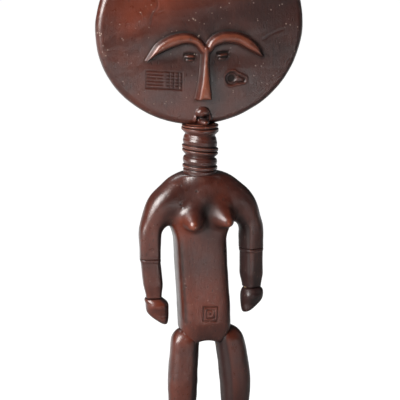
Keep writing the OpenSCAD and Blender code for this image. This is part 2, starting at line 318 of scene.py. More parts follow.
BROWS = {
    "right": [(-34.6, -16.4, 0.2), (-30.8, -12.2, 1.3), (-26.8, -8.9, 2.6), (-21.0, -6.0, 3.1),
              (-14.3, -4.3, 2.9), (-9.0, -4.5, 2.5), (-4.2, -6.9, 2.1), (-1.0, -11.4, 1.8)],
    "left": [(35.2, -17.0, 0.2), (31.2, -12.7, 2.0), (26.4, -8.8, 2.9), (20.6, -5.7, 2.9),
             (14.2, -4.6, 2.9), (8.6, -5.3, 2.9), (4.6, -7.4, 2.4), (1.9, -11.4, 1.9)],
}
NOSE = [(0.5, -11.0, 1.8), (0.5, -14.0, 1.5), (0.1, -20.0, 1.5), (-0.1, -30.0, 2.3), (-0.5, -41.0, 3.9),
        (-0.6, -46.0, 4.6)]
NOSE_END = -41.0
EYES = {"right": (-8.6, -16.0), "left": (11.4, -16.1)}
EYE_R = 3.4
MOUTH = (-0.5, -52.5)
# Where the face's own middle lies on the disc
FACE_MID = (1.0, -1.5)


def brows_and_nose(x, z, height, worn, dark):
    """Bands of varying width round drawn lines, with steep walls and rounded tops, joined by a fillet.

    The eye sockets are shallow dips below the brows. Painted shade darkens a rim round the brows and nose, a
    band above the brows, and the sockets. The copper on the brows and nose is partly wear and partly painted
    highlight, most at the right brow's outer tip."""
    nose = np.maximum(stroke(x, z, NOSE), NOSE_END - z)
    rise = mix(3.0, 5.4, ease((-12.0 - z) / 28.0))
    flare = np.clip(1.0 - nose / 1.5, 0.0, 1.0) ** 1.7
    flare = np.where(z < NOSE_END + 0.2, ease((0.5 - nose) / 0.9), flare)
    brow = np.full(x.shape, FAR)
    for knots in BROWS.values():
        brow = np.minimum(brow, stroke(x, z, curve_through(knots, 4)))
    half_round = np.sqrt(1.0 - (1.0 - np.clip((0.25 - brow) / 3.0, 0.0, 1.0)) ** 2)
    rise = rise + 1.3 * np.sqrt(1.0 - (1.0 - np.clip(-nose / 2.6, 0.0, 1.0)) ** 2)
    tee = -join(-rise * flare, -0.9 * ease(0.8 - brow) - 3.0 * half_round, 0.6)
    height += np.maximum(tee, 0.0)
    crest = np.minimum(nose, brow)
    # Painted highlight: pale copper at the right brow's outer tip; the copper on the brows is partly painted
    # highlight
    brow_tip_highlight = bell(np.hypot(x + 31.0, z + 12.5), 4.5)
    rubbed = 0.5 + 0.25 * ease((-20.0 - z) / 16.0) + 0.35 * brow_tip_highlight
    worn += rubbed * ease((0.3 - crest) / 1.5)
    # Painted shade: a dark rim just outside the brows and nose, and a band above the brows
    dark += 0.5 * bell(np.maximum(crest, 0.0) - 1.2, 0.8) * (crest > 0.4)
    above = ease((z + 7.0) / 6.0) * ease((34.0 - np.abs(x)) / 8.0)
    dark += 0.55 * above * bell(np.maximum(brow, 0.0) - 1.0, 3.6) * (crest > 0.2)

    socket = bell(np.hypot((np.abs(x) - 16.0) / 18.0, (z + 14.5) / 6.5), 1.0) * (crest > 0.0)
    height -= 0.8 * socket * ease(crest / 1.5)
    # Painted shade in the eye sockets
    dark += 0.25 * socket


def eyes(x, z, height, worn, dark):
    """Each eye is a bean with a slit, and a crease above it that is painted dark as shade under the brow."""
    for side, (ex, ez) in EYES.items():
        lean = 0.05 * SIDES[side]
        u, v = x - ex, z - ez - lean * (x - ex)
        bean = np.hypot(u / EYE_R, v / 2.1)
        height += 1.35 * ease((1.2 - bean) / 0.7)
        slit = bell(v + 0.4, 0.7) * ease((1.05 - np.abs(u) / EYE_R) / 0.3)
        height -= 1.15 * slit
        crease = bell(v - 2.3 - 0.05 * (1.0 - (u / EYE_R) ** 2), 0.8)
        crease *= ease((1.35 - np.abs(u) / EYE_R) / 0.4)
        height -= 0.7 * crease
        # The crease is painted dark: shade under the brow
        dark += slit + 0.75 * crease
        worn += 0.5 * ease((1.15 - bean) / 0.5) * (1.0 - slit)
        dark += 0.35 * bell(bean - 1.25, 0.22)


def mouth(x, z, height, worn, dark):
    """Two beads with a slot between them, the lower one much prouder, and a raised U round its sides."""
    mx, mz = MOUTH
    upper = np.hypot((x - mx + 0.2) / 4.3, (z - mz - 3.4) / 3.1)
    lower = np.hypot((x - mx - 0.2) / 3.2, (z - mz + 2.3) / 2.3)
    rim = np.abs(np.hypot(x - mx, (z - mz + 0.9) / 1.12) - 4.6)
    rim = np.where(z < mz + 1.6, rim, np.hypot(rim, (z - mz - 1.6) * 1.2))
    height += 3.4 * np.sqrt(np.clip(1.0 - upper**2, 0.0, 1.0)) ** 0.8
    height += 8.4 * np.sqrt(np.clip(1.0 - lower**2, 0.0, 1.0)) ** 0.8
    height += 1.2 * bell(rim, 0.8) * ease((upper - 0.9) / 0.4) * ease((z - mz + 3.0) / 1.5)
    slot = bell(z - mz - 0.1, 0.7) * ease((4.2 - np.abs(x - mx)) / 1.2)
    height -= 0.8 * slot
    dark += slot + 0.4 * bell(upper - 1.08, 0.1)
    worn += 0.35 * bell(rim, 0.7) * (upper > 1.0)
    worn += 0.35 * ease((0.8 - lower) / 0.4) + 0.3 * ease((0.75 - upper) / 0.4)


def cheek_marks(x, z, height, worn, dark):
    """Right cheek: a framed panel of cut lines, crossed by more on one half. Left cheek: a keyhole outline."""
    px, pz = x + 24.0, z + 28.6 + 0.11 * (x + 24.0)
    edge = np.maximum(np.abs(px) - 10.6, np.abs(pz) - 5.2)
    panel = ease((0.3 - edge) / 0.5)
    rows = groove((pz + 6.0) % 2.0 - 1.0, 0.55)
    lattice = np.maximum(rows, groove((px + 0.9) % 2.7 - 1.35, 0.6)) * ease((px - 1.0) / 0.8)
    cuts = panel * np.maximum(lattice, rows * ease((-0.2 - px) / 0.8))
    cuts = np.maximum(cuts, 0.9 * groove(edge - 0.1, 0.6))
    height -= 0.45 * cuts
    dark += 0.36 * cuts
    worn += 0.1 * panel * (1.0 - cuts)
    dot = np.hypot(x - 16.9, (z + 29.4) / 1.05) - 3.3
    tail = stroke(x, z, [(17.5, -29.6, 2.0), (21.5, -30.2, 1.9), (23.8, -30.8, 1.2)])
    keyhole = join(dot, tail, 0.8)
    line = bell(keyhole, 0.55)
    pocket = ease((3.1 - np.hypot(x - 16.8, z + 29.5)) / 1.4)
    height += 0.4 * bell(keyhole - 1.2, 0.7) - 0.75 * line - 1.1 * pocket
    height += 0.4 * ease((0.9 - tail) / 1.2) * ease((x - 19.0) / 2.0)
    dark += 0.6 * line + pocket + 0.3 * bell(x - 21.5, 0.4) * ease((0.8 - tail) / 0.5)
    worn += 0.35 * bell(keyhole - 1.3, 0.6)


def old_damage(x, z, height, dark):
    """A double scratch beside the left brow and a forked crack above the right one."""
    height += 0.07 * scratch(x, z, [(36.4, -5.5), (41.3, -2.3), (48.4, -0.3)], 0.9)
    height -= 0.2 * scratch(x, z, [(36.8, -7.3), (42.0, -3.9), (48.6, -1.9)], 0.6)
    crack = scratch(x, z, [(-32.2, 4.4), (-31.1, 10.4), (-28.0, 15.0), (-28.8, 20.8)], 0.5)
    fork = scratch(x, z, [(-30.4, 11.6), (-27.4, 11.4), (-24.6, 12.6)], 0.4)
    crack = np.maximum(crack, 0.7 * fork)
    height -= 0.3 * crack
    dark += 0.25 * crack


def relief(x, z):
    """The face, from x and z in millimetres about the disc's middle: its height, its wear, partly a painted
    highlight, and its dark, which is grime in the cuts and painted shade.

    It starts flat, and each part of the carving adds its share to the three. Cuts and cracks are bells
    round their lines."""
    x, z = x - FACE_MID[0], z - FACE_MID[1]
    height, worn, dark = np.zeros(x.shape), np.zeros(x.shape), np.zeros(x.shape)
    brows_and_nose(x, z, height, worn, dark)
    eyes(x, z, height, worn, dark)
    mouth(x, z, height, worn, dark)
    cheek_marks(x, z, height, worn, dark)
    old_damage(x, z, height, dark)
    return height, worn, dark


HEAD_TILT = 0.014
HEAD_DROP = 1.0


def carve_head(name):
    """Disc with a half-round rim, slightly crowned on both faces, with the face on its front.

    A square grid bent to a disc covers the front, x = s sqrt(1 - t*t/2) and z = t sqrt(1 - s*s/2), with
    more of its lines over the face. Its share of the way out becomes a length along the crowned face and
    then round the rim's quarter circle. Rings from the same border close the back at a pole."""
    half = np.array([HEAD_W / 2, HEAD_H / 2])
    rim = 4.5
    crown = 3.0
    lines = 268

    def crowd(centre, width):
        fine = np.linspace(-1.0, 1.0, 2001)
        density = 1.0 + 1.9 * bell(fine - centre, width)
        total = np.concatenate([[0.0], np.cumsum(0.5 * (density[1:] + density[:-1]))])
        return np.interp(np.linspace(0.0, 1.0, lines), total / total[-1], fine)

    s, t = np.meshgrid(crowd(0.0, 0.42), crowd(-0.42, 0.42))
    gx, gz = s * np.sqrt(1 - t * t / 2), t * np.sqrt(1 - s * s / 2)
    rho = np.clip(np.hypot(gx, gz), 1e-9, 1.0)

    def wrap(rho, way_x, way_z, face):
        arc = rim * math.pi / 2
        inner = half - rim
        length = rho * (inner[0] + arc)
        q = np.minimum(length / inner[0], 1.0)
        turn = np.clip((length - inner[0]) / arc, 0.0, 1.0) * math.pi / 2
        size = np.hypot(way_x / inner[0], way_z / inner[1]) ** -1.0 / inner[0]
        x = way_x * (inner[0] * size * q + rim * np.sin(turn))
        z = way_z * (inner[0] * size * q + rim * np.sin(turn))
        y = np.broadcast_to((rim * np.cos(turn) + crown * (1.0 - q * q)) * face, x.shape)
        return x, y, z

    x, y, z = wrap(rho, gx / rho, gz / rho, -1.0)
    rise, worn, dark = relief(x, z)
    on_face = ease((1.0 - rho) / 0.05)
    front = np.stack([x, y - rise * on_face, z], -1)

    border = np.concatenate(
        [
            np.arange(lines),
            lines * np.arange(1, lines) + lines - 1,
            lines * (lines - 1) + np.arange(lines - 2, -1, -1),
            lines * np.arange(lines - 2, 0, -1),
        ]
    )
    count = len(border)
    way_x, way_z = (gx / rho).ravel()[border], (gz / rho).ravel()[border]
    shares = np.linspace(1.0, 0.0, 25)[1:-1, None]
    bx, by, bz = wrap(shares, way_x[None], way_z[None], 1.0)
    back = np.stack([bx, by, bz], -1)
    pole = np.array([[0.0, rim + crown, 0.0]])
    points = np.concatenate([front.reshape(-1, 3), back.reshape(-1, 3), pole]) + HEAD_MID
    points[:, 2] += HEAD_TILT * points[:, 0] - HEAD_DROP

    i, j = np.meshgrid(np.arange(lines - 1), np.arange(lines - 1), indexing="ij")
    a = i * lines + j
    quads = [np.stack([a, a + 1, a + lines + 1, a + lines], -1).reshape(-1, 4)]
    rings = [border] + [lines * lines + k * count + np.arange(count) for k in range(len(shares))]
    for outer, inner in zip(rings, rings[1:]):
        quads.append(np.stack([outer, inner, np.roll(inner, -1), np.roll(outer, -1)], -1))
    tip = np.full(count, len(points) - 1)
    fan = np.stack([rings[-1], tip, np.roll(rings[-1], -1)], -1)

    flat = points - HEAD_MID
    away = np.stack([flat[:, 0] / half[0], np.sign(flat[:, 1]) * 0.6, flat[:, 2] / half[1]], -1)
    away /= np.linalg.norm(away, axis=1, keepdims=True) + 1e-9
    uneven = 0.22 * ripple(points, 24.0, 5) + 0.13 * ripple(points, 9.0, 6) + 0.05 * ripple(points, 3.5, 7)
    points += away * (0.7 * uneven[:, None] - 0.15)
    piece = put_mesh(name, points, np.concatenate(quads), fan)
    extra = len(points) - lines * lines
    set_mask(piece, "wear", np.concatenate([worn.ravel(), np.zeros(extra)]))
    set_mask(piece, "hollow", np.concatenate([dark.ravel(), np.zeros(extra)]))
    return piece


# ------------------------------------------------------------------ the neck


NECK_PROFILE = [
    (0.0, 10.0), (2.0, 10.1), (4.0, 10.2), (4.7, 9.6), (5.3, 10.6), (6.5, 10.65), (7.2, 9.4), (8.3, 10.15),
    (9.8, 10.4), (11.1, 10.1), (12.5, 8.7), (14.3, 10.2), (14.9, 10.8), (15.7, 10.8), (16.4, 9.5),
    (17.0, 10.9), (18.3, 10.95), (18.9, 9.5), (19.8, 10.15), (21.4, 10.35), (23.2, 10.0), (25.6, 9.05),
    (27.2, 10.3), (28.0, 11.2), (29.3, 11.2), (30.0, 9.9), (30.6, 11.0), (31.3, 11.0), (32.3, 9.0),
]


def carve_neck(name):
    """Turned neck with the uneven rings of hand work: a profile of radii carried round the axis.

    Between two profile points the radius follows a smooth step. Rings in the middle dip on the doll's
    left side, and none do at the two ends, which seat square on the torso and under the head."""
    heights, radii = np.array(NECK_PROFILE).T
    rise = np.linspace(0.0, heights[-1], 230)
    k = np.clip(np.searchsorted(heights, rise, side="right") - 1, 0, len(heights) - 2)
    t = (rise - heights[k]) / (heights[k + 1] - heights[k])
    radius = mix(radii[k], radii[k + 1], ease(t)) * NECK_R / radii.max()
    closing = np.array([0.96, 0.8, 0.5, 0.2])
    rise = np.concatenate([np.full(4, rise[0]), rise, np.full(4, rise[-1])])
    radius = np.concatenate([radius[0] * closing[::-1], radius, radius[-1] * closing])
    angle = around(208)
    share = rise / rise.max()
    dip = (0.062 * ease(share / 0.15) + 0.06 * bell(share - 0.5, 0.2)) * ease((1.0 - share) / 0.12)
    x = radius[:, None] * np.cos(angle)
    y = radius[:, None] * np.sin(angle)
    wave = 0.16 * np.sin(2.0 * angle + 9.0 * share[:, None])
    wave = wave * ease(share * 6)[:, None] * ease((1 - share) * 8)[:, None]
    z = rise[:, None] - dip[:, None] * x + wave
    rows = np.stack([x, y + AXIS_Y, z + NECK_LOW], -1)
    flat = rows.reshape(-1, 3)
    bumps = 0.14 * ripple(flat, 9.0, 11) + 0.06 * ripple(flat, 3.5, 12) - 0.12
    out = np.stack([np.cos(angle) + 0 * x, np.sin(angle) + 0 * x, 0 * x], -1).reshape(-1, 3)
    fade = np.repeat(np.minimum(radius / 8.0, 1.0), rows.shape[1])
    return stack(name, (flat + out * (bumps * fade)[:, None]).reshape(rows.shape))


# ------------------------------------------------------------------ the torso


def sway(z):
    """Sideways drift of the trunk: a little right at the chest, and left at the foot."""
    return mix(-0.3, 0.85 * HIP_X, ease((PIT_Z - z) / (PIT_Z - HIP_Z)))


ARM_OUT = 31.3
ARM_TURN = {"right": math.radians(9), "left": math.radians(24)}
ARCH = [(0.0, 187.6, 11.7), (11.0, 187.8, 10.7), (18.7, 183.1, 10.15), (24.6, 178.6, 9.0), (28.6, 171.4, 7.7),
        (31.1, 164.5, 6.4), (31.3, 158.0, 5.6)]
# Each breast's place on the chest (x, z), and how far it points outwards and downwards
BREASTS = [
    (-7.2, 172.8, math.radians(-6), math.radians(17)),
    (10.3, 173.8, math.radians(15), math.radians(16)),
]
BREAST_Y = -9.5
# The neck's seat: radius, and height and half length about it
SEAT = (11.0, 190.0, 8.0)


def elbow_height(x):
    """Height of the elbow seam on the side that x is on."""
    return np.where(x < 0.0, middle("right_elbow_dowel")[2], middle("left_elbow_dowel")[2])


def trunk_field(x, y, z):
    """Trunk: a rounded square that drifts sideways and widens at the chest.

    Its foot is arched in the middle, and rises again at the sides beside the thighs."""
    half_x = 15.7 + 4.4 * ease((z - 157.0) / 17.0)
    half_y = 11.7 - 0.3 * bell(z - 140.0, 18.0) - 0.4 * ease((z - 150.0) / 20.0)
    half_y = half_y - 2.6 * ease((108.0 - z) / 13.0)
    off = np.abs(x - sway(z))
    u, v = off / half_x, np.abs(y) / half_y
    power = 3.4
    trunk = ((u**power + v**power) ** (1 / power) - 1.0) * 0.9 * half_y
    foot_z = HIP_Z - 4.9 - 3.2 * np.clip(off / 9.0, 0.0, 1.0) ** 2.2
    foot_z = foot_z + 8.6 * np.clip((off - 7.0) / 9.0, 0.0, 1.0)
    trunk = meet(trunk, (foot_z - z) * 0.75, 3.4)
    return meet(trunk, z - 186.0, 8.0)


def shoulder_field(x, y, z):
    """Shoulders: one thick arch that thins into the two upper arms, which are turned rounded squares."""
    ax = np.abs(x)
    arm_y = ARM_Y - AXIS_Y
    deep = np.abs(y - arm_y * ease((ax - 12.0) / 16.0))
    arch = np.full(x.shape, FAR)
    power = 2.3
    chain = curve_through(ARCH, 7)
    for a, b in zip(chain, chain[1:]):
        d, t = segment(ax, z, a, b)
        arch = np.minimum(arch, (d**power + deep**power) ** (1 / power) - mix(a[2], b[2], t))
    turn = np.where(x > 0.0, ARM_TURN["left"], ARM_TURN["right"])
    n, d = ax - ARM_OUT, y - arm_y
    across = np.abs(n * np.cos(turn) + d * np.sin(turn))
    forth = np.abs(d * np.cos(turn) - n * np.sin(turn))
    power = 3.8
    arm = (across**power + forth**power) ** (1 / power) - 6.35 - 0.1 * (x > 0.0)
    return join(arch, meet(arm, z - 172.0, 12.0), 2.5)


def breast_field(q, outward, down):
    """Breast: a blunt cone about its place, pointing outwards and downwards by two angles."""
    level = math.cos(down)
    way = np.array([math.sin(outward) * level, -math.cos(outward) * level, -math.sin(down)])
    along = q @ way
    across = np.sqrt(np.maximum((q * q).sum(-1) - along**2, 0.0))
    cone = (across - (9.0 - 0.53 * along)) * 0.88
    return np.maximum(meet(cone, along - 13.2, 3.2), -4.0 - along)


def torso_field(p):
    """Signed distance, nearly, of the torso from points in millimetres.

    The trunk, the shoulders, the neck's seat and the breasts are joined with fillets, and planes cut the
    elbows and the neck's seat."""
    x, y, z = p[:, 0], p[:, 1] - AXIS_Y, p[:, 2]
    body = join(trunk_field(x, y, z), shoulder_field(x, y, z), 5.0)
    seat_r, seat_z, seat_half = SEAT
    seat = np.maximum(np.hypot(x, y) - seat_r, np.abs(z - seat_z) - seat_half)
    body = join(body, seat, 5.0)
    for bx, bz, outward, down in BREASTS:
        place = np.stack([x - bx, y - BREAST_Y, z - bz], -1)
        body = join(body, breast_field(place, outward, down), 3.0)
    body = meet(body, np.where(np.abs(x) > ARM_FROM, elbow_height(x) - z, -50.0), 0.45)
    return meet(body, z - NECK_LOW - 2.6, 1.4)


def slope(field, p, step=0.05):
    """Direction in which a field grows, by differences a small step apart."""
    parts = []
    for axis in range(3):
        shift = np.zeros(3)
        shift[axis] = step
        parts.append((field(p + shift) - field(p - shift)) / (2 * step))
    return np.stack(parts, -1)


def net(field, lowest, highest, cell):
    """Closed quad surface where a field is zero.

    The field is sampled on a grid of cubes. Each cube that the surface crosses gets one point, at the
    mean of the crossings on its edges, and each grid line that crosses it gets a quad between the four
    cubes round it. The points are then evened out and drawn onto the surface along the field's slope."""
    axes = [np.arange(a - 4.0, b + 4.0, cell) for a, b in zip(lowest, highest)]
    grid = np.stack(np.meshgrid(*axes, indexing="ij"), -1)
    shape = grid.shape[:3]
    value = field(grid.reshape(-1, 3)).reshape(shape)
    inside = value < 0.0
    cells = tuple(n - 1 for n in shape)
    total = np.zeros(cells + (3,))
    hits = np.zeros(cells)
    crossing = []
    for axis in range(3):
        lo = [slice(None)] * 3
        hi = [slice(None)] * 3
        lo[axis], hi[axis] = slice(0, -1), slice(1, None)
        lo, hi = tuple(lo), tuple(hi)
        cut = inside[lo] != inside[hi]
        t = np.where(cut, value[lo] / np.where(cut, value[lo] - value[hi], 1.0), 0.0)
        place = grid[lo] + (grid[hi] - grid[lo]) * t[..., None]
        crossing.append(cut)
        others = [k for k in range(3) if k != axis]
        for da in (0, 1):
            for db in (0, 1):
                part = [slice(None)] * 3
                for k, d in zip(others, (da, db)):
                    part[k] = slice(d, cells[k] + d)
                part = tuple(part)
                total += np.where(cut[part][..., None], place[part], 0.0)
                hits += cut[part]
    used = hits > 0
    number = np.full(cells, -1)
    number[used] = np.arange(used.sum())
    points = total[used] / hits[used][:, None]
    quads = []
    for axis in range(3):
        i, j, k = np.nonzero(crossing[axis])
        at = [i, j, k]
        first, second = ((1, 2), (2, 0), (0, 1))[axis]
        corners = []
        for da, db in ((1, 1), (0, 1), (0, 0), (1, 0)):
            spot = list(at)
            spot[first] = at[first] - da
            spot[second] = at[second] - db
            corners.append(number[spot[0], spot[1], spot[2]])
        quad = np.stack(corners, -1)
        flip = ~inside[i, j, k]
        quad[flip] = quad[flip][:, ::-1]
        quads.append(quad)
    quads = np.concatenate(quads)
    edges = np.concatenate([quads[:, [0, 1]], quads[:, [1, 2]], quads[:, [2, 3]], quads[:, [3, 0]]])
    a, b = edges.T
    degree = np.bincount(a, minlength=len(points))
    for _ in range(5):
        mean = np.stack([np.bincount(a, points[b, n], len(points)) for n in range(3)], 1) / degree[:, None]
        points = mix(points, mean, 0.5)
        grow = slope(field, points)
        size = (grow * grow).sum(1, keepdims=True)
        points = points - np.clip(field(points)[:, None] / np.maximum(size, 0.2), -0.6, 0.6) * grow
    return points, quads


def belly_mark(x, z):
    """Cut of a plain set of squares, one inside another, a little out of square. 1 is the full depth."""
    u = x - 3.7 - 0.04 * (z - 113.0)
    v = z - 113.2 + 0.05 * (x - 3.0)
    ring = np.maximum(np.abs(u), np.abs(v))
    cut = np.maximum(groove(ring - 4.4, 0.6), groove(ring - 2.5, 0.55))
    return np.maximum(cut, groove(np.hypot(u, v) - 0.2, 0.9))


# Chips on the torso's front: x, z, radius
CHIPS = [(-5.0, 189.3, 1.1), (-14.5, 182.0, 1.0), (-14.0, 180.0, 0.9), (13.0, 151.0, 0.9),
         (-11.0, 131.0, 0.8)]
NO_TRIANGLES = np.zeros((0, 3), int)


def carve_torso(name):
    """Torso from its field, with the mark cut in the belly and chips and tool marks over it.

    Painted shade darkens the chest between the breasts and the armpits, and a dark line runs along the trunk's
    front edges."""
    points, quads = net(torso_field, low("torso") - np.array([0, 0, 5]), high("torso"), 0.52)
    normal = slope(torso_field, points)
    normal /= np.linalg.norm(normal, axis=1, keepdims=True)
    x, y, z = points.T
    front = ease((-normal[:, 1] - 0.5) / 0.3) * ease((AXIS_Y - 4.0 - y) / 4.0)
    cut = belly_mark(x, z) * front
    chips = np.zeros(len(points))
    for cx, cz, r in CHIPS:
        chips = np.maximum(chips, ease((r - np.hypot(x - cx, (z - cz) * 1.3)) / 0.9) * front)
    seam = ease((z - 192.0) / 2.5)
    bumps = 0.1 * ripple(points, 17.0, 21) + 0.03 * ripple(points, 6.0, 22) + 0.015 * ripple(points, 2.6, 23)
    points = points + normal * ((bumps - 0.05) * (1 - seam) - 0.33 * cut - 0.35 * chips)[:, None]
    piece = put_mesh(name, points, quads, NO_TRIANGLES)

    crest = crests(piece, 26)
    # Painted shade between the breasts and in the armpits
    between = bell(np.hypot((x - 1.2) / 5.5, (z - 178.5) / 8.0), 1.0) * front
    armpits = bell((np.abs(x) - 21.0) / 4.0, 1.0) * bell((z - 176.0) / 7.0, 1.0) * front
    # A dark line along each front edge of the trunk
    side_line = bell(np.abs(x - sway(z)) - 13.4, 0.9)
    side_line *= ease((162 - z) / 8) * ease((z - 104) / 8) * ease((AXIS_Y - 5 - y) / 3)
    rubbed = ease((z - elbow_height(x) - 1.2) / 1.5) + (np.abs(x) < ARM_FROM)
    rubbed *= ease((z - HIP_Z - 3.0) / 4.0)
    rubbed *= mix(1.0, 0.35, ease(17.5 - np.abs(x)) * ease((157.0 - z) / 5.0))
    wear = ease((crest - 0.10) / 0.35) * 0.6 * np.minimum(rubbed, 1.0) * ease((193.5 - z) / 2.0)
    hollow = ease((-crest - 0.05) / 0.28) * 0.8 + 0.6 * cut + 0.55 * chips
    hollow += 0.85 * between + 0.3 * armpits + 0.75 * side_line
    set_mask(piece, "wear", wear)
    set_mask(piece, "hollow", hollow)
    return piece


# ------------------------------------------------------------------ the limbs


def finish_limb(piece, passes=14):
    """Wear on the limb's edges and dirt in its hollows, from how far each point stands proud.

    The seams at its two ends gather dirt and don't wear."""
    crest = crests(piece, passes)
    z = surface_of(piece)[0][:, 2]
    end = np.minimum(z - z.min(), z.max() - z)
    set_mask(piece, "wear", 0.65 * ease((crest - 0.06) / 0.25) * ease((end - 0.7) / 1.3))
    set_mask(piece, "hollow", 0.8 * ease((-crest - 0.04) / 0.2) + 0.25 * ease((0.6 - end) / 0.6))
    return piece


def carve_forearm(name, side):
    """Forearm from the elbow seam down to the wrist seam, with a slightly proud cuff at the top.

    The left one is a little thicker, and its wrist lies further out."""
    s = SIDES[side]
    outward, bend, wider = {"right": (0.0, 1.3, 0.0), "left": (2.6, 1.0, 0.15)}[side]
    top, foot = middle(side + "_elbow_dowel"), middle(side + "_wrist_dowel")
    t = end_steps(70, 0.5)
    centre_x = mix(foot[0] + outward, s * ARM_OUT, t**bend)
    half = mix(4.75, 5.95, ease(t * 2.6)) + wider + 0.3 * ease((t - 0.9) / 0.04)
    half = half * cap(t, 0.015, 0.014)
    centre_y = np.full(len(t), ARM_Y)
    z = mix(foot[2], top[2], t)
    return finish_limb(stack(name, limb(s, centre_x, centre_y, z, half, half, 3.7, s * ARM_TURN[side])))


def carve_hand(name, side):
    """Mitten hand: a wedge with a slanted end, longer on the side next to the body, and a fold on top."""
    s = SIDES[side]
    longer = {"right": 5.0, "left": 3.4}[side]
    wrist = middle(side + "_wrist_dowel")
    depth = wrist[2] - low(side + "_hand")[2]
    t = end_steps(64, 0.35)
    wide = smooth(np.interp(t, [0.0, 0.25, 0.5, 0.78, 0.92, 1.0], [5.6, 6.7, 7.0, 6.9, 5.8, 4.9]), 5)
    thick = smooth(np.interp(t, [0.0, 0.3, 0.6, 0.85, 1.0], [4.4, 5.6, 6.1, 5.8, 4.7]), 5)
    shape = cap(t, 0.22, 0.07)
    half_x, half_y = (wide * shape)[:, None], (thick * shape)[:, None]
    x, y = rounded_ring(around(LIMB_SIDES), half_x, half_y, 2.5, s * ARM_TURN[side])
    inward = -s * x
    short = 0.44 * (0.5 - 0.5 * np.clip(inward / 6.0, -1, 1))
    down = (1.0 - t)[:, None] * (1.0 - short) * (depth + longer)
    front = np.clip(-y / 5.5, 0.0, 1.0)
    fold = (1.3 * bell((down - 4.5) / 3.0, 1.0) - 0.9 * bell((down - 10.5) / 2.6, 1.0)) * front
    drift = 2.6 + 0.3 * down / depth if side == "left" else 2.0 * ease(down / 4.0)
    rows = np.stack([x + wrist[0] + drift, y - fold + ARM_Y, wrist[2] - down], -1)
    flat = rows.reshape(-1, 3)
    bumps = 0.1 * ripple(flat, 7.0, 70 + s) * np.repeat(shape, LIMB_SIDES)
    flat = flat + np.array([1, 1, 0]) * bumps[:, None]
    return finish_limb(stack(name, flat.reshape(rows.shape)), 10)


def carve_thigh(name, side):
    """Thigh from the knee seam up to a rounded crown beside the torso's foot, widest below its middle."""
    s = SIDES[side]
    top = HIP_Z + 2.8
    t = end_steps(110, 0.55)
    z = mix(KNEE_Z, top, t)
    knots = [KNEE_Z, 65.0, 76.0, 84.0, 92.0, 98.0, top + 1]
    spread = smooth(np.interp(z, knots, [16.7, 16.7, 16.1, 15.1, 14.2, 13.4, 12.9]), 4)
    drift = smooth(np.interp(z, [KNEE_Z, 65.0, 77.0, 89.0, top], [LEG_X, 5.4, 5.2, 4.7, 3.9]), 4)
    knots = [KNEE_Z, 52.0, 60.0, 69.0, 80.0, 90.0, top]
    half = smooth(np.interp(z, knots, [7.4, 8.0, 8.7, 9.05, 8.95, 8.75, 8.5]), 4)
    crown = (1.0 - np.clip((z - top + 9.5) / 9.5, 0, 1) ** 2.3 * 0.998) ** 0.5
    half = half * crown * cap(t, 0.012, 0)
    centre_y = AXIS_Y - 0.6 * bell(z - 70.0, 16.0)
    rows = limb(s, drift + s * spread, centre_y, z, half, half * 1.02, 2.55, s * LEG_TURN, 160, 0.15)
    return finish_limb(stack(name, rows))


def carve_calf(name, side):
    """Calf between the knee and ankle seams, fullest a third of the way down and a little behind."""
    s = SIDES[side]
    t = end_steps(70, 0.5)
    half = smooth(np.interp(t, [0, 0.12, 0.35, 0.62, 0.85, 1], [6.15, 6.2, 7.1, 8.15, 7.9, 7.4]), 4)
    half = half * cap(t, 0.02, 0.02)
    centre_x = np.full(len(t), LEG_X + s * LEG_APART)
    centre_y = AXIS_Y + 0.9 * bell(t - 0.62, 0.25)
    z = mix(ANKLE_Z, KNEE_Z, t)
    rows = limb(s, centre_x, centre_y, z, half, half * 1.03, 2.4, s * LEG_TURN, 140, 0.14)
    return finish_limb(stack(name, rows))


def carve_foot(name, side):
    """Foot on a flat sole, from a round heel to blunt toes with four cuts between them.

    Rounded sections across the foot are stacked from heel to toe; the part of each below the sole's
    level is pressed flat onto it."""
    lo, hi = low(side + "_foot"), high(side + "_foot")
    t = end_steps(120, 0.75)
    y = mix(hi[1] - 0.25, lo[1] + 0.25, t)
    tall = smooth(np.interp(t, [0, 0.2, 0.36, 0.6, 0.8, 1.0], [8.6, 9.0, 9.0, 7.6, 6.2, 5.4]), 6)
    wide = smooth(np.interp(t, [0, 0.3, 0.62, 0.8, 1.0], [7.4, 8.2, 9.0, 9.3, 8.7]), 6)
    end = cap(t, 0.22, 0.14)
    angle = around(150)
    x, z = rounded_ring(angle, (wide * end)[:, None], np.ones((len(t), 1)), 3.0, 0.0)
    lift = np.where(z > 0.0, z * 0.62 + 0.38, np.maximum(z * 2.4, -1.0) * 0.38 + 0.38)
    lift = lift * (tall * (0.4 + 0.6 * end))[:, None]
    toes = ease((t - 0.8) / 0.1)[:, None] * groove((x + 9.3) % 3.72 - 1.86, 0.75) * (angle < math.pi)
    inner = np.abs(x) < wide[:, None] * 0.86
    lift = lift - 0.7 * toes * inner * ease((lift - 2.0) / 2.0)
    rows = np.stack([x + (lo[0] + hi[0]) / 2, np.broadcast_to(y[:, None], x.shape), lift], -1)
    return finish_limb(stack(name, rows), 10)


# ------------------------------------------------------------------ materials


